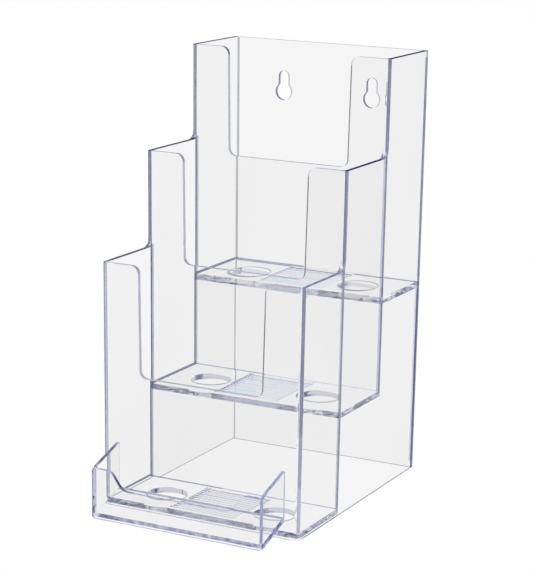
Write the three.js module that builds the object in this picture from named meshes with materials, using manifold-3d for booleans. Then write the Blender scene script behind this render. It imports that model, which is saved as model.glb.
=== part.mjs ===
// Three-tier leaflet rack in clear plastic, with a card pocket on the front.
// Units are millimetres, +Z is up, the front faces -Y and +X is to the right.
// The origin is on the table plane, in the middle of the overall width and depth.
import * as THREE from 'three';
import * as BufferGeometryUtils from 'three/addons/utils/BufferGeometryUtils.js';
import Module from 'manifold-3d';

const wasm = await Module();
wasm.setup();

// ---- overall sizes ----
const WIDTH = 112;            // outer width at the top rim
const DEPTH = 157;            // card pocket front to rear face
const HEIGHT = 222;           // top rim of the third tier
const DRAFT = 1.5;            // each side wall leans in by this much from the top rim to the base
const DRAFT_MIN_X = 50;       // only what lies further out than this follows the draft

const BACK_Y = DEPTH / 2;     // rear face of the back panel
const SIDE_T = 2.2;           // side wall thickness
const FRONT_T = 2.2;          // front panel thickness
const BACK_T = 2.2;           // back panel thickness
const BOND = 0.05;            // cement line left between two bonded panels
const INNER_HALF_W = WIDTH / 2 - SIDE_T - BOND;   // half width of the panels between the sides

// ---- tiers, front to back ----
const TIER_PITCH = 49;        // height from one rim to the next
// rimZ: top rim; frontY: outer face of the front panel; floorZ, floorT: shelf top and thickness;
// holeShift: how far behind the middle of the shelf its holes sit
const TIERS = [
  { rimZ: HEIGHT - 2 * TIER_PITCH, frontY: -55.7, floorZ: 3.5, floorT: 2.8, holeShift: 0 },
  { rimZ: HEIGHT - TIER_PITCH, frontY: -13.5, floorZ: 52.9, floorT: 2.9, holeShift: 0.5 },
  { rimZ: HEIGHT, frontY: 31.7, floorZ: 101.8, floorT: 3.4, holeShift: -3 },
];
const RACK_FRONT_Y = TIERS[0].frontY;

// ---- side panels ----
const CORNER_R = SIDE_T;      // rounding of the front vertical corners
const REAR_CORNER_R = 0.8;    // rounding of the rear vertical corners
const STEP_FILLET_R = 5;      // concave fillet where a side wall steps up to the next tier
const BASE_CORNER_R = 4.2;    // the two front corners are rounder where they meet the table
const BASE_CORNER_H = 5.2;    // height over which they blend into CORNER_R
const BASE_CORNER_UNDERSHOOT = 0.3;   // the blend ends this much below CORNER_R
const BASE_CORNER_LAYERS = 6;
const BASE_CORNER_OVERHANG = 0.6;     // cutter beyond the walls, as a share of its radius

// ---- U cut-outs in the front panels ----
const CUT_DEPTH = 55.8;       // below the rim
const CUT_HALF_TOP = 34.8;    // half width at the rim
const CUT_HALF_BOTTOM = 33.8; // half width at the bottom
const CUT_RIM_R = 4.2;        // convex rounding where the cut-out meets the rim
const CUT_BOTTOM_R = 4;       // rounding of the bottom corners

// ---- keyholes in the back panel ----
const KEY_X = 25.8;
const KEY_Z = 194.9;          // centre of the round part
const KEY_R = 4.6;
const KEY_SLOT_R = 2.9;       // half width and end radius of the slot above it
const KEY_TOP_Z = 206;
const KEY_ROUND_SEGMENTS = 36;
const KEY_SLOT_SEGMENTS = 16;

// ---- shelves ----
const HOLE_X = 30.6;          // two round holes in each shelf
const HOLE_R = 10.4;
const PAD_HALF_W = 18;        // sunk ribbed field in the middle of each shelf
const PAD_FRONT_GAP = 3;      // left plain behind the front panel
const PAD_REAR_GAP = 0.6;     // left plain before the next panel
const PAD_SINK = 0.6;
const RIBS = 13;
const RIB_H = 0.3;
const RIB_FLAT = 0.08;        // flat before and after each rib, as a share of the rib pitch
const RIB_ROOT = 0.3;         // the ribbed strip overlaps the shelf by this much all round

// ---- card pocket ----
const CARD_HALF_W = 46.9;
const CARD_FRONT_Y = -DEPTH / 2;
const CARD_T = 2;             // front lip thickness
const CARD_WING_T = 1.8;
const CARD_FLOOR_T = 1.9;
const CARD_BOTTOM_Z = 1.2;    // underside of the lip, just clear of the table
const CARD_EAR_Z = 26.7;      // top of the two ears
const CARD_LIP_Z = 17.5;      // scooped part of the lip
const CARD_REAR_BOTTOM_Z = 9; // underside of the pocket where it meets the rack
const CARD_REAR_TOP_Z = 34;   // top of the wings where they meet the rack
const CARD_CORNER_R = 1.6;    // lower corners of the lip
// Right edge of the scoop, ear to lip: two Bezier curves in X and Z that share the middle point.
const CARD_SCOOP_EDGE = [
  [38.8, CARD_EAR_Z], [36, CARD_EAR_Z], [34.8, 24.4],
  [33.1, 22],
  [31.4, 19.6], [30, CARD_LIP_Z], [26.6, CARD_LIP_Z],
];

// ---- modelling ----
const ARC_SEGMENTS = 8;       // in a quarter turn of a small radius
const HOLE_SEGMENTS = 48;
const CURVE_SEGMENTS = 8;     // in each Bezier curve
const OVERCUT = 1;            // cutters run this far past the faces they cut
const MERGE_TOLERANCE = 1e-4;
const QUARTER = Math.PI / 2;

const group = new THREE.Group();
const point = (x, y) => new THREE.Vector2(x, y);

function toSolid(geometry) {
  geometry.deleteAttribute('normal');
  geometry.deleteAttribute('uv');
  const merged = BufferGeometryUtils.mergeVertices(geometry, MERGE_TOLERANCE);
  return new wasm.Manifold(new wasm.Mesh({
    numProp: 3,
    vertProperties: new Float32Array(merged.attributes.position.array),
    triVerts: new Uint32Array(merged.index.array),
  }));
}

function toGeometry(solid) {
  const mesh = solid.getMesh();
  const geometry = new THREE.BufferGeometry();
  const positions = new Float32Array(mesh.vertProperties);
  geometry.setAttribute('position', new THREE.BufferAttribute(positions, 3));
  geometry.setIndex(new THREE.BufferAttribute(new Uint32Array(mesh.triVerts), 1));
  return geometry;
}

// The side walls, and the panel edges that meet them, lean in towards the base.
function applyDraft(geometry) {
  const position = geometry.attributes.position;
  for (let i = 0; i < position.count; i++) {
    const x = position.getX(i);
    if (Math.abs(x) > DRAFT_MIN_X) {
      position.setX(i, x - Math.sign(x) * DRAFT * (1 - position.getZ(i) / HEIGHT));
    }
  }
}

function clearPlastic() {
  return new THREE.MeshStandardMaterial({
    color: 0xeef1f7,
    roughness: 0.06,
    metalness: 0,
    transparent: true,
    opacity: 0.3,
  });
}

function addPiece(name, solid) {
  const geometry = toGeometry(solid);
  applyDraft(geometry);
  geometry.computeVertexNormals();
  const mesh = new THREE.Mesh(geometry, clearPlastic());
  mesh.name = name;
  group.add(mesh);
}

function arcPoints(centreX, centreY, radius, start, sweep, segments = ARC_SEGMENTS) {
  const points = [];
  for (let k = 0; k <= segments; k++) {
    const angle = start + sweep * k / segments;
    points.push(point(centreX + radius * Math.cos(angle), centreY + radius * Math.sin(angle)));
  }
  return points;
}

// A polygon with corners replaced by arcs. corners: [x, y, radius], no radius for a sharp one
function roundedPoints(corners) {
  const count = corners.length;
  return corners.flatMap(([x, y, radius], i) => {
    const corner = point(x, y);
    if (!radius) return [corner];
    const [beforeX, beforeY] = corners[(i + count - 1) % count];
    const [afterX, afterY] = corners[(i + 1) % count];
    const toBefore = point(beforeX, beforeY).sub(corner).normalize();
    const toAfter = point(afterX, afterY).sub(corner).normalize();
    const halfAngle = Math.acos(THREE.MathUtils.clamp(toBefore.dot(toAfter), -1, 1)) / 2;
    const tangent = radius / Math.tan(halfAngle);
    const bisector = toBefore.clone().add(toAfter).normalize();
    const centre = corner.clone().addScaledVector(bisector, radius / Math.sin(halfAngle));
    const start = corner.clone().addScaledVector(toBefore, tangent).sub(centre);
    const end = corner.clone().addScaledVector(toAfter, tangent).sub(centre);
    const startAngle = Math.atan2(start.y, start.x);
    let sweep = Math.atan2(end.y, end.x) - startAngle;
    while (sweep > Math.PI) sweep -= 2 * Math.PI;
    while (sweep < -Math.PI) sweep += 2 * Math.PI;
    const segments = Math.max(3, Math.round(ARC_SEGMENTS * Math.abs(sweep) / QUARTER));
    return arcPoints(centre.x, centre.y, radius, startAngle, sweep, segments);
  });
}

// A flat plate: a shape in X and Z, with its thickness along +Y from y0.
function plateXZ(shape, y0, thickness) {
  const geometry = new THREE.ExtrudeGeometry(shape, {
    depth: thickness, bevelEnabled: false, curveSegments: CURVE_SEGMENTS,
  });
  geometry.rotateX(QUARTER);       // (x, y, z) -> (x, -z, y)
  geometry.translate(0, y0 + thickness, 0);
  return toSolid(geometry);
}

// A plate with its outline in Y and Z, and its thickness along +X from x0.
function plateYZ(points, x0, thickness) {
  const geometry = new THREE.ExtrudeGeometry(new THREE.Shape(points), {
    depth: thickness, bevelEnabled: false,
  });
  geometry.rotateX(QUARTER);       // outline up
  geometry.rotateZ(QUARTER);       // outline x -> +Y, thickness -> +X
  geometry.translate(x0, 0, 0);
  return toSolid(geometry);
}

// A plan outline extruded in unit layers, to be reshaped layer by layer.
function layeredExtrusion(plan, layers) {
  return new THREE.ExtrudeGeometry(new THREE.Shape(plan), {
    depth: layers, steps: layers, bevelEnabled: false,
  });
}

function boxBetween(x0, x1, y0, y1, z0, z1) {
  const geometry = new THREE.BoxGeometry(x1 - x0, y1 - y0, z1 - z0);
  geometry.translate((x0 + x1) / 2, (y0 + y1) / 2, (z0 + z1) / 2);
  return toSolid(geometry);
}

function cylinderZ(radius, x, y, z0, z1) {
  const geometry = new THREE.CylinderGeometry(radius, radius, z1 - z0, HOLE_SEGMENTS);
  geometry.rotateX(QUARTER);
  geometry.translate(x, y, (z0 + z1) / 2);
  return toSolid(geometry);
}

// Part of a side wall: a thin rectangle with rounded outer corners, extruded upwards.
// levels: [z, y of the front edge] of each layer; side: -1 left, 1 right
function sideSegment(side, levels) {
  const farFront = -1000;          // marks the front end of the plan until it is moved into place
  const inner = side * (WIDTH / 2 - SIDE_T);
  const outer = side * WIDTH / 2;
  const plan = roundedPoints([
    [inner, farFront], [outer, farFront, CORNER_R],
    [outer, BACK_Y, REAR_CORNER_R], [inner, BACK_Y],
  ]);
  const geometry = layeredExtrusion(plan, levels.length - 1);
  const position = geometry.attributes.position;
  for (let i = 0; i < position.count; i++) {
    const [z, frontY] = levels[Math.round(position.getZ(i))];
    const y = position.getY(i);
    if (y < farFront / 2) position.setY(i, y - farFront + frontY);
    position.setZ(i, z);
  }
  return toSolid(geometry);
}

// Levels of an upper side segment: its front edge starts with the step fillet.
function stepLevels(z0, z1, frontY) {
  const levels = [];
  for (let k = 0; k <= ARC_SEGMENTS; k++) {
    const angle = (k / ARC_SEGMENTS) * QUARTER;
    levels.push([
      z0 + STEP_FILLET_R * (1 - Math.cos(angle)),
      frontY - STEP_FILLET_R * (1 - Math.sin(angle)),
    ]);
  }
  levels.push([z1, frontY]);
  return levels;
}

// What is taken off a front corner at the base: its radius falls from BASE_CORNER_R on the table
// to just under CORNER_R. The plan is drawn for a unit radius, with the corner at the origin.
function baseCorner(side) {
  const plan = [
    ...arcPoints(-1, 1, 1, -QUARTER, QUARTER),
    point(BASE_CORNER_OVERHANG, 1),
    point(BASE_CORNER_OVERHANG, -BASE_CORNER_OVERHANG),
    point(-1, -BASE_CORNER_OVERHANG),
  ].map(({ x, y }) => point(side * x, y));
  const shrink = BASE_CORNER_R - CORNER_R + BASE_CORNER_UNDERSHOOT;
  const geometry = layeredExtrusion(plan, BASE_CORNER_LAYERS + 1);   // one layer under the table
  const position = geometry.attributes.position;
  for (let i = 0; i < position.count; i++) {
    const rise = (Math.round(position.getZ(i)) - 1) / BASE_CORNER_LAYERS;
    const radius = BASE_CORNER_R - shrink * Math.max(rise, 0) ** 2;
    position.setXYZ(
      i,
      side * WIDTH / 2 + radius * position.getX(i),
      RACK_FRONT_Y + radius * position.getY(i),
      rise < 0 ? -OVERCUT : BASE_CORNER_H * rise,
    );
  }
  return toSolid(geometry);
}

function sidePanel(side) {
  let panel = sideSegment(side, [[0, RACK_FRONT_Y], [TIERS[0].rimZ, RACK_FRONT_Y]]);
  for (let i = 1; i < TIERS.length; i++) {
    const levels = stepLevels(TIERS[i - 1].rimZ, TIERS[i].rimZ, TIERS[i].frontY);
    panel = panel.add(sideSegment(side, levels));
  }
  return panel.subtract(baseCorner(side));
}

// A round hole with a narrower, round-ended slot rising from it.
function keyholeOutline(x) {
  const slotAngle = Math.acos(KEY_SLOT_R / KEY_R);   // where the slot leaves the round hole
  const roundStart = Math.PI - slotAngle;
  const roundSweep = Math.PI + 2 * slotAngle;
  const slotZ = KEY_TOP_Z - KEY_SLOT_R;
  return [
    ...arcPoints(x, KEY_Z, KEY_R, roundStart, roundSweep, KEY_ROUND_SEGMENTS),
    ...arcPoints(x, slotZ, KEY_SLOT_R, 0, Math.PI, KEY_SLOT_SEGMENTS),
  ];
}

function backPanel() {
  const y0 = BACK_Y - BACK_T;
  let panel = boxBetween(-INNER_HALF_W, INNER_HALF_W, y0, BACK_Y, 0, HEIGHT);
  for (const x of [-KEY_X, KEY_X]) {
    const keyhole = new THREE.Shape(keyholeOutline(x));
    panel = panel.subtract(plateXZ(keyhole, y0 - OVERCUT, BACK_T + 2 * OVERCUT));
  }
  return panel;
}

// A front panel with its U cut-out. The upper two stand on the shelf in front of them.
function frontPanel(index) {
  const { rimZ, frontY } = TIERS[index];
  const bottom = index === 0 ? 0 : TIERS[index - 1].floorZ + BOND;
  const cutZ = rimZ - CUT_DEPTH;
  const outline = roundedPoints([
    [-INNER_HALF_W, bottom], [INNER_HALF_W, bottom], [INNER_HALF_W, rimZ],
    [CUT_HALF_TOP, rimZ, CUT_RIM_R], [CUT_HALF_BOTTOM, cutZ, CUT_BOTTOM_R],
    [-CUT_HALF_BOTTOM, cutZ, CUT_BOTTOM_R], [-CUT_HALF_TOP, rimZ, CUT_RIM_R],
    [-INNER_HALF_W, rimZ],
  ]);
  const panel = plateXZ(new THREE.Shape(outline), frontY, FRONT_T);
  return index === 0 ? panel.subtract(baseCorner(-1)).subtract(baseCorner(1)) : panel;
}

// Ribs across the rack: a saw-tooth section on the bottom of the sunk field, y0 to y1.
function ribStrip(y0, y1, bottomZ) {
  const pitch = (y1 - y0) / RIBS;
  const section = [point(y0 - RIB_ROOT, bottomZ - RIB_ROOT), point(y0 - RIB_ROOT, bottomZ)];
  for (let k = 0; k < RIBS; k++) {
    section.push(point(y0 + pitch * (k + RIB_FLAT), bottomZ));
    section.push(point(y0 + pitch * (k + 0.5), bottomZ + RIB_H));
    section.push(point(y0 + pitch * (k + 1 - RIB_FLAT), bottomZ));
  }
  section.push(point(y1 + RIB_ROOT, bottomZ), point(y1 + RIB_ROOT, bottomZ - RIB_ROOT));
  const halfWidth = PAD_HALF_W + RIB_ROOT;
  return plateYZ(section, -halfWidth, 2 * halfWidth);
}

function shelf(index) {
  const { frontY, floorZ, floorT, holeShift } = TIERS[index];
  const next = TIERS[index + 1];
  const pocketFront = frontY + FRONT_T;
  const pocketRear = next ? next.frontY : BACK_Y - BACK_T;
  const rear = next ? pocketRear + FRONT_T : pocketRear - BOND;   // runs under the next panel
  const under = floorZ - floorT;
  let floor = boxBetween(-INNER_HALF_W, INNER_HALF_W, pocketFront + BOND, rear, under, floorZ);

  const holeY = (pocketFront + pocketRear) / 2 + holeShift;
  for (const x of [-HOLE_X, HOLE_X]) {
    floor = floor.subtract(cylinderZ(HOLE_R, x, holeY, under - OVERCUT, floorZ + OVERCUT));
  }

  const padFront = pocketFront + PAD_FRONT_GAP;
  const padRear = pocketRear - PAD_REAR_GAP;
  const padZ = floorZ - PAD_SINK;
  return floor
    .subtract(boxBetween(-PAD_HALF_W, PAD_HALF_W, padFront, padRear, padZ, floorZ + OVERCUT))
    .add(ribStrip(padFront, padRear, padZ));
}

// The front lip: two ears with a scoop between them.
function cardFront() {
  const shape = new THREE.Shape();
  const drawCorner = (centreX, start) => {
    const centreZ = CARD_BOTTOM_Z + CARD_CORNER_R;
    for (const { x, y } of arcPoints(centreX, centreZ, CARD_CORNER_R, start, QUARTER)) {
      shape.lineTo(x, y);
    }
  };
  const drawScoopEdge = (edge) => {
    shape.lineTo(...edge[0]);
    shape.bezierCurveTo(...edge[1], ...edge[2], ...edge[3]);
    shape.bezierCurveTo(...edge[4], ...edge[5], ...edge[6]);
  };
  const cornerX = CARD_HALF_W - CARD_CORNER_R;
  shape.moveTo(-cornerX, CARD_BOTTOM_Z);
  drawCorner(cornerX, -QUARTER);
  shape.lineTo(CARD_HALF_W, CARD_EAR_Z);
  drawScoopEdge(CARD_SCOOP_EDGE);
  drawScoopEdge(CARD_SCOOP_EDGE.map(([x, z]) => [-x, z]).reverse());
  shape.lineTo(-CARD_HALF_W, CARD_EAR_Z);
  drawCorner(-cornerX, Math.PI);
  return plateXZ(shape, CARD_FRONT_Y, CARD_T);
}

function addCardPocket() {
  addPiece('card_pocket_front', cardFront());

  // The wings and the floor run from the lip back to the rack, rising on the way.
  const y0 = CARD_FRONT_Y + CARD_T + BOND;
  const y1 = RACK_FRONT_Y - BOND;
  const run = RACK_FRONT_Y - CARD_FRONT_Y;
  const rise = CARD_REAR_BOTTOM_Z - CARD_BOTTOM_Z;
  const underZ = (y) => CARD_BOTTOM_Z + rise * (y - CARD_FRONT_Y) / run;
  const topZ = (y) => CARD_EAR_Z + (CARD_REAR_TOP_Z - CARD_EAR_Z) * (y - CARD_FRONT_Y) / run;

  const wing = [
    point(y0, underZ(y0)), point(y1, underZ(y1)),
    point(y1, topZ(y1)), point(y0, topZ(y0)),
  ];
  addPiece('card_pocket_left_wing', plateYZ(wing, -CARD_HALF_W, CARD_WING_T));
  addPiece('card_pocket_right_wing', plateYZ(wing, CARD_HALF_W - CARD_WING_T, CARD_WING_T));

  const uprightT = CARD_FLOOR_T / Math.cos(Math.atan2(rise, run));   // thickness along Z
  const floor = [
    point(y0, underZ(y0)), point(y1, underZ(y1)),
    point(y1, underZ(y1) + uprightT), point(y0, underZ(y0) + uprightT),
  ];
  const halfWidth = CARD_HALF_W - CARD_WING_T - BOND;
  addPiece('card_pocket_floor', plateYZ(floor, -halfWidth, 2 * halfWidth));
}

addPiece('left_side_panel', sidePanel(-1));
addPiece('right_side_panel', sidePanel(1));
addPiece('back_panel', backPanel());
TIERS.forEach((_, i) => addPiece(`tier_${i + 1}_front_panel`, frontPanel(i)));
TIERS.forEach((_, i) => addPiece(`tier_${i + 1}_floor`, shelf(i)));
addCardPocket();

export default group;
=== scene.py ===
# A three-tier brochure rack of clear moulded plastic with a card pocket, on a white sweep.
# The rack is centred on x and stands on z = 0. Its front is towards -y, and the tiers step up
# and back. The side walls lean outwards slightly as they rise.
import bpy
import math
from typing import NamedTuple
from mathutils import Matrix, Vector

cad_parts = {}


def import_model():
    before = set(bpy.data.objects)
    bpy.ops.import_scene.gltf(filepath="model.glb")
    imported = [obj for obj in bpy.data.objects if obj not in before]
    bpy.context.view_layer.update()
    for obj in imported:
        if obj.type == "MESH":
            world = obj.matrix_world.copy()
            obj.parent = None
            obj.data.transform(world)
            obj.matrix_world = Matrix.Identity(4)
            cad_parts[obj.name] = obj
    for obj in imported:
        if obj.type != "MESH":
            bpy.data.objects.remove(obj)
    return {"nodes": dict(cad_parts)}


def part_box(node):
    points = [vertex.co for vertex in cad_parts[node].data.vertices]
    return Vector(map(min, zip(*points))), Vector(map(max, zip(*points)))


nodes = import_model()["nodes"]
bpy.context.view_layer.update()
scene = bpy.context.scene

MM = 0.001
WHITE = (1, 1, 1)
SKIN = 0.3 * MM       # half thickness of a box laid around one face
GAP = 0.00005         # gap between two panels that are cemented together

# ------------------------------------------------------------------ sizes read from the panels
FRONTS = [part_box("tier_%d_front_panel" % tier) for tier in (1, 2, 3)]
FLOORS = [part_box("tier_%d_floor" % tier) for tier in (1, 2, 3)]
BACK_LO, BACK_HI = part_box("back_panel")
LIP_LO, LIP_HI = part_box("card_pocket_front")
WING_LO, WING_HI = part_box("card_pocket_right_wing")
TRAY_LO, TRAY_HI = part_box("card_pocket_floor")

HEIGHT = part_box("left_side_panel")[1].z
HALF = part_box("right_side_panel")[1].x      # half width over the side walls at the top rim
# how far each side wall leans out from its foot to the top rim
DRAFT = HALF - max(v.co.x for v in nodes["right_side_panel"].data.vertices if v.co.z < 1e-5)
INNER = BACK_HI.x + GAP                     # inner face of a side wall at the top rim

FACE = [lo.y for lo, hi in FRONTS]          # front face of each front panel
TOPS = [hi.z for lo, hi in FRONTS]          # top of each front panel
DECK = [hi.z for lo, hi in FLOORS]          # top of each shelf
TOP_SHELF_UNDER = FLOORS[2][0].z


def behind(k, last):
    """The y where tier k ends: the face of the next tier, or the given end of the last one."""
    return FACE[k + 1] if k < 2 else last


def past(start, end, by=MM):
    """A span that runs a little past both ends."""
    return (start - by, end + by)


def about(centre, by=SKIN):
    return (centre - by, centre + by)


def onward(start, length):
    """A span from just before start to a length after it."""
    return (start - MM, start + length)


# ------------------------------------------------------------------ camera
def camera():
    yaw, pitch, roll = 0.4594066, -0.2293107, 0.0207554
    forward = Vector((-math.sin(yaw) * math.cos(pitch),
                      math.cos(yaw) * math.cos(pitch),
                      math.sin(pitch)))
    level_right = forward.cross(Vector((0, 0, 1))).normalized()
    level_up = level_right.cross(forward)
    right = level_right * math.cos(roll) + level_up * math.sin(roll)
    up = -level_right * math.sin(roll) + level_up * math.cos(roll)
    pose = Matrix((right, up, -forward)).transposed().to_4x4()
    pose.translation = Vector((0.4727998, -0.8866794, 0.3401414))

    data = bpy.data.cameras.new("camera")
    data.sensor_width = 36.0
    data.lens = 129.1093357
    data.shift_x = -0.08766261
    data.shift_y = 0.006316522
    data.clip_start = 0.05
    data.clip_end = 20
    ob = bpy.data.objects.new("camera", data)
    scene.collection.objects.link(ob)
    ob.matrix_world = pose
    scene.camera = ob


# ------------------------------------------------------------------ node helpers
class Tree:
    """Builds nodes in one node tree. Inputs may be sockets to link or plain values."""

    def __init__(self, nt):
        self.nt = nt

    def n(self, kind, **props):
        node = self.nt.nodes.new(kind)
        for key, value in props.items():
            setattr(node, key, value)
        return node

    def put(self, socket, value):
        if isinstance(value, bpy.types.NodeSocket):
            self.nt.links.new(value, socket)
        else:
            socket.default_value = value

    def finish(self, kind, value):
        self.put(self.n(kind).inputs[0], value)

    def math(self, op, a, b=None, clamp=False):
        node = self.n("ShaderNodeMath", operation=op, use_clamp=clamp)
        self.put(node.inputs[0], a)
        if b is not None:
            self.put(node.inputs[1], b)
        return node.outputs[0]

    def muladd(self, a, factor, offset):
        result = self.math("MULTIPLY_ADD", a, factor)
        result.node.inputs[2].default_value = offset
        return result

    def vec(self, op, a, b=None):
        node = self.n("ShaderNodeVectorMath", operation=op)
        self.put(node.inputs[0], a)
        if b is not None:
            self.put(node.inputs[1], b)
        return node.outputs["Value" if op == "LENGTH" else "Vector"]

    def split(self, vector):
        node = self.n("ShaderNodeSeparateXYZ")
        self.put(node.inputs[0], vector)
        return node.outputs

    def join(self, *parts):
        node = self.n("ShaderNodeCombineXYZ")
        for socket, part in zip(node.inputs, parts):
            self.put(socket, part)
        return node.outputs[0]

    def mix_shader(self, fac, a, b):
        node = self.n("ShaderNodeMixShader")
        for socket, value in zip(node.inputs, (fac, a, b)):
            self.put(socket, value)
        return node.outputs[0]


def shader_tree(owner):
    """An empty shader tree on a material or world."""
    owner.use_nodes = True
    owner.node_tree.nodes.clear()
    return Tree(owner.node_tree)


def group_tree(name, socket, kind):
    """A new node group with one output."""
    group = bpy.data.node_groups.new(name, "ShaderNodeTree")
    group.interface.new_socket(socket, in_out="OUTPUT", socket_type=kind)
    return Tree(group)


def box_distance(t, place, spans):
    """Below 0 inside a box given as spans along x, y and z, above 0 outside it."""
    centre = tuple((a + b) / 2 for a, b in spans)
    half = tuple((b - a) / 2 for a, b in spans)
    offset = t.vec("ABSOLUTE", t.vec("SUBTRACT", place, centre))
    x, y, z = t.split(t.vec("SUBTRACT", offset, half))
    return t.math("MAXIMUM", t.math("MAXIMUM", x, y), z)


def in_box(t, place, spans, soft):
    """1 inside a box, falling to 0 at its sides over a soft edge in metres."""
    return t.math("MULTIPLY", box_distance(t, place, spans), -1.0 / soft, clamp=True)


def ramp(t, fac, stops):
    node = t.n("ShaderNodeValToRGB")
    t.put(node.inputs[0], fac)
    elements = node.color_ramp.elements
    while len(elements) < len(stops):
        elements.new(0.5)
    for element, (position, colour) in zip(elements, stops):
        element.position = position
        element.color = (*colour, 1)
    return node.outputs[0]


def noise(t, place, scale, stretch, detail=2.0):
    stretched = t.vec("MULTIPLY", place, stretch)
    node = t.n("ShaderNodeTexNoise")
    t.put(node.inputs["Vector"], stretched)
    node.inputs["Scale"].default_value = scale
    node.inputs["Detail"].default_value = detail
    return node.outputs[0]


def blend(t, fac, a, b, kind="MIX"):
    node = t.n("ShaderNodeMix", data_type="RGBA", blend_type=kind)
    t.put(node.inputs[0], fac)
    for socket, colour in ((node.inputs[6], a), (node.inputs[7], b)):
        t.put(socket, colour if isinstance(colour, bpy.types.NodeSocket) else (*colour, 1))
    return node.outputs[2]


def brighter(colour, factor):
    return tuple(min(1.0, c * factor) for c in colour)


# ------------------------------------------------------------------ white surroundings
SEEN_THROUGH = 0.955     # level of the sweep for all but camera rays, which see it at 1


def sweep_level(t):
    path = t.n("ShaderNodeLightPath")
    return t.muladd(path.outputs["Is Camera Ray"], 1.0 - SEEN_THROUGH, SEEN_THROUGH)


def glowing(t, kind):
    """A plain white background or emission shader at the level of the sweep."""
    shader = t.n(kind)
    shader.inputs["Color"].default_value = (1, 1, 1, 1)
    t.put(shader.inputs["Strength"], sweep_level(t))
    return shader.outputs[0]


def world():
    studio = bpy.data.worlds.new("studio")
    t = shader_tree(studio)
    t.finish("ShaderNodeOutputWorld", glowing(t, "ShaderNodeBackground"))
    scene.world = studio


def floor():
    half, z = 0.6, -0.0005
    corners = [(-half, -half, z), (half, -half, z), (half, half, z), (-half, half, z)]
    mesh = bpy.data.meshes.new("floor")
    mesh.from_pydata(corners, [], [(0, 1, 2, 3)])
    ob = bpy.data.objects.new("floor", mesh)
    scene.collection.objects.link(ob)
    material = bpy.data.materials.new("floor")
    t = shader_tree(material)
    t.finish("ShaderNodeOutputMaterial", glowing(t, "ShaderNodeEmission"))
    mesh.materials.append(material)


# ------------------------------------------------------------------ node groups
def lean_at(t, z):
    """How far a side wall at height z stands inside its place at the top rim."""
    return t.muladd(z, -DRAFT / HEIGHT, DRAFT)


def heights(name, y):
    """Heights of a panel's vertices at one y."""
    return [v.co.z for v in nodes[name].data.vertices if abs(v.co.y - y) < 1e-5]


def bond_group():
    """1 on the hidden faces where panels meet, 0 on every face that meets air."""
    t = group_tree("cement_line", "Bond", "NodeSocketFloat")
    x, y, z = t.split(t.n("ShaderNodeNewGeometry").outputs["Position"])
    across = t.math("ABSOLUTE", x)
    leaned = t.join(t.math("ADD", across, lean_at(t, z)), y, z)
    plain = t.join(across, y, z)

    # the card pocket's floor slopes: z becomes the height above its own underside
    y0, y1 = TRAY_LO.y, TRAY_HI.y
    z0 = min(heights("card_pocket_floor", y0))
    z1 = min(heights("card_pocket_floor", y1))
    thick = max(heights("card_pocket_floor", y0)) - z0
    drop = t.muladd(y, -(z1 - z0) / (y1 - y0), y0 * (z1 - z0) / (y1 - y0) - z0)
    sloped = t.join(across, y, t.math("ADD", z, drop))

    ease = 0.00002                  # the boxes reach this far past the faces they catch
    middle = -0.01                  # start of a box that spans the middle, below any |x|

    def span(start, end):
        return past(start, end, ease)

    wall = span(INNER - GAP, INNER)
    width = (middle, INNER + ease)
    boxes = []
    for lo, hi in FRONTS + [(BACK_LO, BACK_HI)]:
        boxes.append((leaned, wall, span(lo.y, hi.y), span(lo.z, hi.z)))
    for k, (lo, hi) in enumerate(FLOORS):
        boxes.append((leaned, wall, span(lo.y, hi.y), span(lo.z, hi.z)))
        boxes.append((leaned, width, span(lo.y - GAP, lo.y), span(lo.z, hi.z)))
        if k < 2:
            front_lo, front_hi = FRONTS[k + 1]
            boxes.append((leaned, width, span(front_lo.y, front_hi.y), span(hi.z, hi.z + GAP)))
        else:
            boxes.append((leaned, width, span(hi.y, hi.y + GAP), span(lo.z, hi.z)))

    rear = heights("card_pocket_right_wing", WING_HI.y)
    fore = heights("card_pocket_right_wing", WING_LO.y)
    wing_x = span(WING_LO.x, WING_HI.x)
    tray_x = (middle, TRAY_HI.x + ease)
    boxes += [
        (plain, wing_x, span(WING_HI.y, WING_HI.y + GAP), span(min(rear), max(rear))),
        (plain, wing_x, span(WING_LO.y - GAP, WING_LO.y),
         span(min(fore), min(max(fore), LIP_HI.z))),
        (plain, tray_x, span(y1, y1 + GAP), span(z1, z1 + thick)),
        (plain, tray_x, span(y0 - GAP, y0), span(z0, z0 + thick)),
        (sloped, span(TRAY_HI.x, TRAY_HI.x + GAP), span(y0, y1), span(0, thick)),
    ]
    nearest = None
    for place, *spans in boxes:
        distance = box_distance(t, place, spans)
        nearest = distance if nearest is None else t.math("MINIMUM", nearest, distance)
    t.finish("NodeGroupOutput", t.math("LESS_THAN", nearest, 0.0))
    return t.nt


def rack_group():
    """Position without the draft: x is signed, and +-HALF on the walls' outer faces."""
    t = group_tree("rack_frame", "Place", "NodeSocketVector")
    x, y, z = t.split(t.n("ShaderNodeNewGeometry").outputs["Position"])
    outward = t.math("MULTIPLY", t.math("SIGN", x), lean_at(t, z))
    t.finish("NodeGroupOutput", t.join(t.math("ADD", x, outward), y, z))
    return t.nt


# ------------------------------------------------------------------ clear plastic
IOR = 1.57
PASS = 0.978             # what one face lets through
# what is left after the first and the second total reflection inside a wall
NAVY = ((0.49, 0.51, 0.63), (0.52, 0.54, 0.64))


def patch(x, y, z, tint, soft=0.00015):
    """A tinted box: spans along x, y and z in rack coordinates. Only the painted shade uses its
    soft.
    """
    return ((x, y, z), tint, soft)


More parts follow.
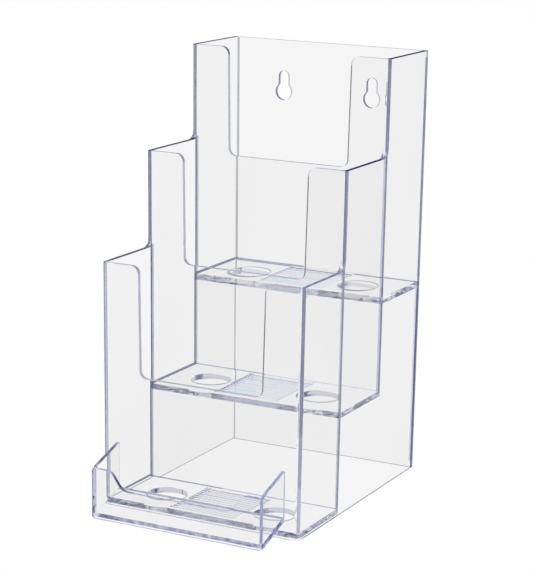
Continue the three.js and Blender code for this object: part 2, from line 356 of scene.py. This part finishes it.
class Look(NamedTuple):
    """How one panel differs from plain clear plastic. The lists hold patches."""
    speckle: float           # strength of the painted glints and dark flecks in guided light
    speckle_noise: tuple             # its noise scale and stretch
    turn: tuple = NAVY       # tints of the first and second total reflection
    stops: tuple = ()        # colours of the speckle; worked out from turn if empty
    quiet: float = None      # speckle in the middle of a shelf
    reach: float = None      # with quiet: speckle ends at this y
    paint: tuple = ()        # painted shade: dark lines on edges, corners and rims that darken light passing a face
    ring: tuple = ()         # painted shade on hole rims: centre, half axes, lowest height, tint
    field: tuple = ()        # spans of the area with a painted sheen of interference colour
    sheen: float = 1.0       # strength of that colour
    under: tuple = ()        # tints guided light that travels sideways
    glow: tuple = ()         # painted light and shade: sets the tint of guided light
    shade: tuple = ()        # darkens guided light
    steep: tuple = ()        # tints guided light that travels steeply
    joint: tuple = ()        # tints light that crosses a cemented joint


def passed_tint(t, place, look):
    """Tint of light that passes a face."""
    # a trace of tint that drifts with the flow of the plastic
    drift = noise(t, place, scale=22.0, stretch=(1, 1, 0.35), detail=3.0)
    tint = ramp(t, drift, [(0.35, (PASS - 0.0035,) * 3), (0.65, (PASS + 0.0025,) * 3)])
    # hairline scuffs: the peaks of a noise drawn out along z, at 2 % strength
    scuff = noise(t, place, scale=60.0, stretch=(9, 9, 0.8), detail=4.0)
    scuffed = t.math("MULTIPLY", t.math("GREATER_THAN", scuff, 0.74), 0.02)
    tint = blend(t, scuffed, tint, (0.80, 0.81, 0.86))
    # painted shade: dark lines along edges, corners and rims, a little uneven
    for spans, colour, soft in look.paint:
        inside = in_box(t, place, spans, soft)
        uneven = noise(t, place, scale=240.0, stretch=(1, 1, 0.25))
        tone = ramp(t, uneven, [(0.36, colour), (0.64, brighter(colour, 1.12))])
        tint = blend(t, inside, tint, tone, "MULTIPLY")
    # painted shade on the hole rims
    for centre, (half_x, half_y), lowest, colour in look.ring:
        offset = t.vec("SUBTRACT", place, (*centre, 0))
        radius = t.vec("LENGTH", t.vec("MULTIPLY", offset, (1 / half_x, 1 / half_y, 0)))
        # 14 sets how fast the ellipse fades in from its edge
        inside = t.math("MULTIPLY", t.math("SUBTRACT", 1.0, radius), 14.0, clamp=True)
        on_top = t.math("GREATER_THAN", t.split(place)[2], lowest)
        tint = blend(t, t.math("MULTIPLY", inside, on_top), tint, colour, "MULTIPLY")
    # painted sheen: interference colours laid on the field as a fixed tint
    if look.field:
        inside = in_box(t, place, look.field, soft=0.00005)
        painted_sheen = ramp(t, noise(t, place, scale=110.0, stretch=(0.3, 2.4, 1)), [
            (0.36, (0.84, 0.97, 1.0)), (0.43, (1.0, 1.0, 1.0)), (0.49, (1.0, 0.90, 0.97)),
            (0.54, (1.0, 1.0, 0.97)), (0.60, (0.86, 0.99, 1.0)), (0.68, (0.91, 0.89, 1.0))])
        tint = blend(t, t.math("MULTIPLY", inside, look.sheen), tint, painted_sheen, "MULTIPLY")
    return tint


def guided_tint(t, place, path, look):
    """Tint of light at a total reflection: set for the first two, white after that."""
    first, second = look.turn
    bounces = path.outputs["Glossy Depth"]
    tint = blend(t, t.math("LESS_THAN", bounces, 0.5), second, first)
    if look.under or look.steep:
        way = t.split(t.n("ShaderNodeNewGeometry").outputs["Incoming"])
    for spans, colour, _ in look.under:
        sideways = t.math("GREATER_THAN", t.math("ABSOLUTE", way[0]), 0.6)
        glint = ramp(t, noise(t, place, scale=420.0, stretch=(1, 1, 0.7)),
                     [(0.42, colour), (0.54, brighter(colour, 1.35)), (0.62, WHITE)])
        inside = in_box(t, place, spans, soft=0.0006)
        tint = blend(t, t.math("MULTIPLY", sideways, inside), tint, glint)

    # painted glints and dark flecks spread by noise over the guided light
    scale, stretch = look.speckle_noise
    spark = ramp(t, noise(t, place, scale, stretch), look.stops or [
        (0.34, (0.20, 0.22, 0.38)), (0.42, first), (0.56, brighter(first, 1.25)), (0.66, WHITE)])
    speckle = look.speckle
    if look.quiet is not None:
        # calm in the middle of a shelf, broken up towards its ends
        ends = t.n("ShaderNodeMapRange")
        t.put(ends.inputs["Value"], t.math("ABSOLUTE", t.split(place)[0]))
        ends.inputs["From Min"].default_value = 0.014
        ends.inputs["From Max"].default_value = 0.032
        ends.inputs["To Min"].default_value = look.quiet
        ends.inputs["To Max"].default_value = speckle
        # and only near the front edge
        near = t.math("LESS_THAN", t.split(place)[1], look.reach)
        speckle = t.math("MULTIPLY", near, ends.outputs[0])
    tint = blend(t, speckle, tint, spark)

    # painted light and shade in guided light, box by box
    for spans, colour, _ in look.glow:
        tint = blend(t, in_box(t, place, spans, soft=0.0006), tint, colour)
    for spans, colour, _ in look.shade:
        tint = blend(t, in_box(t, place, spans, soft=0.004), tint, colour, "MULTIPLY")
    for spans, colour, _ in look.steep:
        down = t.math("GREATER_THAN", t.math("ABSOLUTE", way[2]), 0.4)
        inside = in_box(t, place, spans, soft=0.0003)
        tint = blend(t, t.math("MULTIPLY", down, inside), tint, colour)
    return blend(t, t.math("GREATER_THAN", bounces, 1.5), tint, WHITE)


def clear(name, look):
    material = bpy.data.materials.new(name)
    t = shader_tree(material)
    path = t.n("ShaderNodeLightPath")
    place = t.n("ShaderNodeGroup", node_tree=RACK).outputs[0]

    # refraction, no longer tinted after many faces
    through = t.n("ShaderNodeBsdfRefraction")
    through.inputs["IOR"].default_value = IOR
    through.inputs["Roughness"].default_value = 0.0
    many = t.math("GREATER_THAN", path.outputs["Transmission Depth"], 5.5)
    t.put(through.inputs["Color"], blend(t, many, passed_tint(t, place, look), WHITE))

    # a mirror wherever the Fresnel term says the reflection is total
    turned = t.n("ShaderNodeBsdfAnisotropic")
    turned.inputs["Roughness"].default_value = 0.0
    t.put(turned.inputs["Color"], guided_tint(t, place, path, look))
    fresnel = t.n("ShaderNodeFresnel")
    fresnel.inputs["IOR"].default_value = IOR
    total = t.math("GREATER_THAN", fresnel.outputs[0], 0.98)
    plastic = t.mix_shader(total, through.outputs[0], turned.outputs[0])

    # cemented faces vanish, and so do all faces for very deep rays
    bond = t.n("ShaderNodeGroup", node_tree=BOND).outputs[0]
    deep = t.math("GREATER_THAN", path.outputs["Ray Depth"], 15.5)
    gone = t.n("ShaderNodeBsdfTransparent")
    gone.inputs["Color"].default_value = (1, 1, 1, 1)
    cement = WHITE
    for spans, colour, _ in look.joint:
        cement = blend(t, in_box(t, place, spans, soft=0.0001), cement, colour)
    if look.joint:
        t.put(gone.inputs["Color"], cement)
    surface = t.mix_shader(t.math("MAXIMUM", bond, deep), plastic, gone.outputs[0])
    t.finish("ShaderNodeOutputMaterial", surface)
    return material


# ------------------------------------------------------------------ side walls
# painted shade: the dark line along the rim over each tier, for the left (-1) and right (1) wall
RIM_SHADES = {-1: ((0.42, 0.43, 0.52), (0.27, 0.28, 0.38), (0.30, 0.30, 0.39)),
             1: ((0.95, 0.95, 1.0), (0.17, 0.175, 0.38), (0.075, 0.08, 0.18))}


def left_wall_light_and_shade(x):
    # painted shade on the left wall's edges, and painted light and shade in its guided light
    paint = []
    # painted shade along the inner edge of each shelf
    edges = ((1.3, (0.27, 0.28, 0.38)), (0.9, (0.28, 0.28, 0.42)), (0.9, (0.28, 0.28, 0.42)))
    for k, (rise, tint) in enumerate(edges):
        paint.append(patch(about(-INNER), (FRONTS[k][1].y, behind(k, BACK_LO.y)),
                           (DECK[k] - 0.2 * MM, DECK[k] + rise * MM), tint))
    # painted shade: an upright line on the front edge
    paint.append(patch((-HALF + 0.55 * MM, -HALF + 1.25 * MM), about(FACE[0]),
                       (5 * MM, TOPS[0] - 2 * MM), (0.52, 0.53, 0.58)))
    # painted light and shade in guided light
    glow = [
        # the front edges of the first and third tier
        patch(x, onward(FACE[0], 9 * MM), (0, TOPS[0] - MM), (0.91, 0.92, 0.95)),
        patch(x, onward(FACE[2], 9 * MM), (TOPS[1], TOPS[2] - MM), (0.58, 0.60, 0.68)),
        # level with the top shelf
        patch(x, (FRONTS[2][1].y + 8 * MM, BACK_LO.y - MM), past(TOP_SHELF_UNDER, DECK[2]),
              (0.84, 0.85, 0.88))]
    return paint, glow


def right_wall_light_and_shade(x):
    # painted shade on the right wall's edges, and painted light and shade in its guided light
    line_end = -0.012        # y where the crisp line along the bottom edge turns faint
    # painted shade: a line along the bottom edge, crisp then faint
    paint = [
        patch(x, (FACE[0] + 3.5 * MM, line_end), (-MM, 0.22 * MM), (0.42, 0.42, 0.46), 0.0001),
        patch(x, (line_end, BACK_HI.y), (-MM, 0.4 * MM), (0.72, 0.72, 0.73), 0.0002),
        # painted shade on the rear edge below the top shelf
        patch((INNER - SKIN, HALF + MM), (BACK_HI.y - 4.5 * MM, BACK_HI.y + MM),
              (0.004, TOP_SHELF_UNDER), (0.70, 0.71, 0.81), 0.0003)]
    glow = [
        # painted light and shade in guided light: the front edge of the second tier, then of the
        # first in two steps, then the rear edge below the top shelf
        patch(x, onward(FACE[1], 9 * MM), (DECK[1], TOPS[1] - MM), (0.58, 0.60, 0.70)),
        patch(x, onward(FACE[0], 9 * MM), (0, 0.052), (0.60, 0.62, 0.72)),
        patch(x, onward(FACE[0], 9 * MM), (0, 0.026), (0.70, 0.72, 0.80)),
        patch(x, (BACK_HI.y - 5 * MM, BACK_HI.y + MM), (0, TOP_SHELF_UNDER), WHITE)]
    return paint, glow


def side_wall(side):
    left = side < 0
    x = past(-HALF, -INNER) if left else past(INNER, HALF)
    rim_x = (-HALF - MM, -INNER + SKIN) if left else (INNER - SKIN, HALF + MM)
    rims = []
    # painted shade along the top rims
    for k, tint in enumerate(RIM_SHADES[side]):
        stop_short = 0 if left or k == 2 else 5.5 * MM
        rims.append(patch(rim_x, (FACE[k] - MM, behind(k, BACK_HI.y) + MM - stop_short),
                          (TOPS[k] - 0.12 * MM, TOPS[k] + MM), tint, 0.00003))
    paint, glow = left_wall_light_and_shade(x) if left else right_wall_light_and_shade(x)
    # painted light: the foot of the front corner, below the shelf, stays bright
    foot = patch(x, onward(FACE[0], 7 * MM), (-MM, DECK[0]), WHITE)
    return Look(paint=rims + paint, glow=glow + [foot], speckle=0.12, speckle_noise=(160, (1, 1, 0.2)))


# ------------------------------------------------------------------ front panels
CUT_X = 0.0343               # near the right end of the bright line low on each panel
# painted light and shade, one value per tier; the first panel stands on no shelf
FRONT_TIERS = dict(
    right_width=(None, 0.7 * MM, 1.1 * MM),
    right_corner=(None, (0.60, 0.61, 0.70), (0.60, 0.61, 0.76)),
    foot_left=(None, (0.36, 0.37, 0.48), (0.52, 0.53, 0.62)),
    foot_right=(None, (0.54, 0.54, 0.68), (0.74, 0.73, 0.84)),
    joint=(None, (0.66, 0.67, 0.76), (0.60, 0.61, 0.70)),
    low_line=((0.66, 0.68, 0.75), (0.58, 0.60, 0.68), (0.70, 0.71, 0.78)),
    top_left=((0.50, 0.51, 0.60), (0.50, 0.51, 0.60), (0.36, 0.37, 0.46)))


def front_panel(k):
    tier = {name: values[k] for name, values in FRONT_TIERS.items()}
    top = TOPS[k]
    face = about(FACE[k])
    depth = onward(FACE[k], 4 * MM)
    paint, joint = [], []
    # painted light and shade in guided light: a line low on the panel, a dark band near CUT_X, a
    # patch at the top left
    glow = [
        patch((-INNER, CUT_X - 4 * MM), depth, (top - 0.058, top - 0.054), tier["low_line"]),
        patch((CUT_X - 5 * MM, CUT_X + 1.5 * MM), depth, (top - 0.0565, top - 4 * MM),
              (0.26, 0.26, 0.30)),
        patch((-0.041, -0.0325), depth, (top - 4.6 * MM, top - 0.6 * MM), tier["top_left"])]
    if k:
        # painted shade on the corners with the side walls, and on the line where the panel
        # stands on a shelf
        deck, rim = DECK[k - 1], TOPS[k - 1]
        corner = (deck, rim + 2 * MM)
        foot_split = -0.2 * INNER
        paint = [
            patch((-INNER - SKIN, -INNER + 1.9 * MM), face, corner, (0.50, 0.52, 0.60)),
            patch((INNER - tier["right_width"], INNER + SKIN), face, corner,
                  tier["right_corner"]),
            patch((-INNER - MM, foot_split), face, onward(deck, 0.8 * MM), tier["foot_left"]),
            patch((foot_split, INNER + MM), face, onward(deck, 0.7 * MM), tier["foot_right"])]
        joint = [patch(about(INNER, MM), onward(FACE[k], 3 * MM), (deck, rim + MM),
                       tier["joint"])]
    else:
        # painted light: bright lower corners
        glow += [patch(onward(-INNER, 3.5 * MM), depth, (0, top - 2 * MM), (0.92, 0.92, 0.95)),
                 patch((INNER - 3 * MM, HALF + MM), depth, (-MM, DECK[0]), WHITE)]
    return Look(joint=joint, paint=paint, glow=glow, speckle=0.15, speckle_noise=(180, (1, 1, 0.2)),
                turn=((0.66, 0.68, 0.76), (0.70, 0.71, 0.78)))


# ------------------------------------------------------------------ back panel
def back_panel():
    face = about(BACK_LO.y)
    depth = past(BACK_LO.y, BACK_HI.y)
    deck = DECK[2]
    line_split = -0.012      # x where the line along the top shelf turns faint
    return Look(
        speckle=0.1, speckle_noise=(160, (1, 1, 0.2)),
        joint=[patch(about(INNER, MM), depth, (0.0, deck), (0.64, 0.66, 0.74))],
        # painted light in guided light along the top edge and level with the top shelf
        glow=[patch((-HALF, HALF - 3 * MM), depth, (HEIGHT - 4 * MM, HEIGHT + MM),
                    (0.84, 0.85, 0.88)),
              patch((-INNER + 3 * MM, INNER - 3 * MM), depth,
                    past(TOP_SHELF_UNDER, deck, 2 * MM), (0.86, 0.87, 0.90))],
        # painted shade on the left inner corner below and above the top shelf, then on the line
        # along that shelf
        paint=[patch((-INNER - SKIN, -INNER + MM), face, (0.0, deck), (0.54, 0.54, 0.62)),
               patch((-INNER - SKIN, -INNER + 1.5 * MM), face, (deck, HEIGHT - 0.2 * MM),
                     (0.52, 0.53, 0.54)),
               patch((-INNER - MM, line_split), face, onward(deck, 0.85 * MM),
                     (0.38, 0.43, 0.53)),
               patch((line_split, INNER + MM), face, onward(deck, 0.8 * MM),
                     (0.90, 0.90, 0.94))])


# ------------------------------------------------------------------ shelves
# painted edge light: edge-lit bands broken up by the moulding into painted glints and dark
# flecks, and a field with a painted sheen of interference colour
EDGE_STOPS = [(0.34, (0.10, 0.12, 0.28)), (0.42, (0.45, 0.47, 0.58)), (0.48, (0.66, 0.67, 0.75)),
              (0.60, (0.76, 0.77, 0.84)), (0.68, (1, 1, 1))]
PAD_X = 0.018                # half width of the field
HOLE_X = 0.0306              # the holes lie at +- this x
HOLE_REACH = 0.0125          # half side of the box around a hole
# one value per tier, mostly painted light and shade
SHELF_TIERS = dict(
    quiet=(0.25, 0.12, 0.35),
    sheen=(0.45, 0.85, 1.0),
    hole_shift=(0.0, 0.0005, -0.003),        # along y, from the middle of the shelf
    turn=(((0.72, 0.73, 0.80), (0.76, 0.77, 0.83)), ((0.72, 0.73, 0.80), (0.76, 0.77, 0.83)),
          ((0.80, 0.81, 0.86), (0.82, 0.83, 0.88))),
    steep=((0.84, 0.86, 0.90), (0.92, 0.94, 0.98), (0.94, 0.95, 0.98)),
    around_hole=((0.64, 0.65, 0.71), (0.64, 0.64, 0.69), (0.90, 0.90, 0.92)),
    hole_side=((0.26, 0.28, 0.44), (0.50, 0.51, 0.60), None),
    shade_left=((0.62, 0.64, 0.70), (0.78, 0.79, 0.84), (0.95, 0.95, 0.95)),
    shade_right=((0.90, 0.90, 0.92), (0.90, 0.90, 0.92), (0.80, 0.80, 0.82)),
    under=((0.52, 0.53, 0.63), (0.40, 0.41, 0.53), (0.34, 0.35, 0.47)))


def shelf(k):
    tier = {name: values[k] for name, values in SHELF_TIERS.items()}
    lo, hi = FLOORS[k]
    end = behind(k, hi.y)
    thick = past(lo.z, hi.z)
    band = 20 * MM           # depth of the band of painted glints behind the front edge
    # painted shade along the left and right border of the field
    border = (lo.y + 2.6 * MM, end)
    paint = [patch(about(-PAD_X, 0.4 * MM), border, (hi.z - 0.9 * MM, hi.z - 0.05 * MM),
                   (0.55, 0.56, 0.72), 0.00003),
             patch(about(PAD_X), border, (hi.z - 0.9 * MM, hi.z + 0.1 * MM),
                   (0.72, 0.72, 0.80), 0.00005)]
    glow, ring, joint = [], [], []
    hole_y = (lo.y + end) / 2 + tier["hole_shift"]
    for x, joint_tint in ((-HOLE_X, (0.80, 0.80, 0.82)), (HOLE_X, (0.70, 0.71, 0.74))):
        hole_box_x = about(x, HOLE_REACH)
        # painted light and shade in guided light around the hole
        glow.append(patch(hole_box_x, about(hole_y, HOLE_REACH), thick, tier["around_hole"]))
        if k < 2:
            # painted shade on the left side of the hole
            paint.append(patch((x - 0.0112, x - 0.0080), (hole_y - 0.0022, hole_y + 0.0055),
                               (lo.z + 0.1 * MM, hi.z - 0.1 * MM), tier["hole_side"], 0.0003))
        else:
            # painted shade on the hole's rim: an ellipse on the top face, longer along y
            lean = math.copysign(DRAFT * (1 - hi.z / HEIGHT), x)
            ring.append(((x + lean, hole_y - 0.001), (0.0113, 0.0134), hi.z - 0.1 * MM,
                         (0.56, 0.56, 0.60)))
            joint.append(patch(hole_box_x, about(lo.y, 0.2 * MM), (lo.z, hi.z), joint_tint))
    return Look(
        turn=tier["turn"], speckle=0.85, speckle_noise=(300, (1, 0.5, 0.6)), stops=EDGE_STOPS,
        quiet=tier["quiet"], reach=lo.y + band, sheen=tier["sheen"],
        field=(past(-PAD_X, PAD_X, 0.0001), (lo.y + 2 * MM, end),
               (hi.z - 0.0009, hi.z - 0.00012)),
        paint=paint, glow=glow, ring=ring, joint=joint,
        # painted light and shade in guided light: darker ends, lighter steep light, glints in
        # sideways light
        shade=[patch((-HALF, -0.014), onward(lo.y, band), thick, tier["shade_left"]),
               patch((0.016, HALF), onward(lo.y, band), thick, tier["shade_right"])],
        steep=[patch((-PAD_X - 2 * MM, PAD_X + 8 * MM), (lo.y + MM, end), thick,
                     tier["steep"])],
        under=[patch((0.010, HALF + MM), (lo.y - MM, end), thick, tier["under"])])


# ------------------------------------------------------------------ card pocket
# painted edge light: bluer edges with bright painted glints
GLINT_STOPS = [(0.33, (0.22, 0.25, 0.48)), (0.41, (0.52, 0.55, 0.72)),
               (0.57, (0.68, 0.71, 0.84)), (0.66, (1, 1, 1))]
WIDE = DRAFT + MM            # margin that also covers the draft


def pocket_part(turn, speckle, **patches):
    return Look(turn=turn, speckle=speckle, speckle_noise=(300, (1, 1, 0.7)), stops=GLINT_STOPS,
                **patches)


def pocket_front():
    # painted shade: upright strips by the left wing: x from, x to, z from, z to, tint
    edge = -WING_HI.x
    shade_strips = [
        (edge - 0.8 * MM, edge, 0.0110, 0.0128, (0.16, 0.13, 0.18)),
        (edge - 0.7 * MM, edge + 0.1 * MM, 0.0040, 0.0078, (0.22, 0.22, 0.32)),
        (edge - 0.5 * MM, edge, 0.0078, 0.0262, (0.62, 0.62, 0.71)),
        (edge - WIDE, edge - DRAFT + 0.85 * MM, 0.0020, 0.0262, (0.48, 0.49, 0.62))]
    # painted light and shade in guided light: x from, x to, z from, z to, tint; later ones cover
    # earlier ones
    right_x = (WING_LO.x - 0.5 * MM, LIP_HI.x + WIDE)
    left_x = (LIP_LO.x - WIDE, -WING_LO.x + 0.5 * MM)
    top = LIP_HI.z + MM
    glows = [
        (*right_x, LIP_LO.z - MM, 0.0135, (0.46, 0.50, 0.74)),
        (*right_x, 0.0135, top, (0.74, 0.75, 0.87)),
        (*left_x, 0.004, top, (0.80, 0.80, 0.88)),
        (-0.0385, -0.0255, 0.0155, 0.0262, (0.24, 0.25, 0.40)),
        (-0.024, 0.030, 0.0155, 0.0190, (0.92, 0.93, 0.98))]
    skin = past(LIP_LO.y, LIP_HI.y, SKIN)
    depth = past(LIP_LO.y, LIP_HI.y)
    return pocket_part(
        turn=((0.62, 0.65, 0.75), (0.66, 0.69, 0.78)), speckle=0.45,
        paint=[patch((x0, x1), skin, (z0, z1), tint, 0.00004)
               for x0, x1, z0, z1, tint in shade_strips],
        glow=[patch((x0, x1), depth, (z0, z1), tint) for x0, x1, z0, z1, tint in glows])


def pocket_left_wing():
    return pocket_part(
        turn=((0.19, 0.185, 0.30), (0.36, 0.35, 0.50)), speckle=0.45,
        # painted light in guided light near the front of the wing
        glow=[patch((-WING_HI.x - WIDE, -WING_LO.x + MM), onward(WING_LO.y, 9 * MM),
                    (0.0, 0.0258), (0.84, 0.84, 0.92))])


def pocket_right_wing():
    return pocket_part(
        turn=((0.58, 0.61, 0.82), (0.62, 0.65, 0.84)), speckle=0.6,
        # painted edge light with glints in sideways guided light
        under=[patch(past(WING_LO.x, WING_HI.x), past(WING_LO.y, WING_HI.y), (0, 0.0125),
                     (0.30, 0.34, 0.66))])


def pocket_floor():
    depth = past(TRAY_LO.y, TRAY_HI.y)
    tall = (0, 0.03)
    return pocket_part(
        turn=((0.64, 0.66, 0.75), (0.68, 0.70, 0.78)), speckle=0.5,
        # painted edge light with glints, and painted shade at the left end
        under=[patch((0.020, TRAY_HI.x + 3 * MM), depth, tall, (0.22, 0.25, 0.52))],
        shade=[patch((-TRAY_HI.x - 3 * MM, -0.037), depth, tall, (0.62, 0.64, 0.72))])


# ------------------------------------------------------------------ build
camera()
world()
BOND = bond_group()
RACK = rack_group()

looks = {
    "left_side_panel": side_wall(-1),
    "right_side_panel": side_wall(1),
    "back_panel": back_panel(),
    "card_pocket_front": pocket_front(),
    "card_pocket_left_wing": pocket_left_wing(),
    "card_pocket_right_wing": pocket_right_wing(),
    "card_pocket_floor": pocket_floor(),
}
for k in range(3):
    looks["tier_%d_front_panel" % (k + 1)] = front_panel(k)
    looks["tier_%d_floor" % (k + 1)] = shelf(k)

for name, ob in nodes.items():
    ob.data.materials.clear()
    ob.data.materials.append(clear("clear_" + name, looks[name]))
    for polygon in ob.data.polygons:
        polygon.use_smooth = False

floor()

scene.view_settings.view_transform = "Standard"
scene.cycles.max_bounces = 28
scene.cycles.transmission_bounces = 28
scene.cycles.transparent_max_bounces = 64
scene.cycles.glossy_bounces = 28
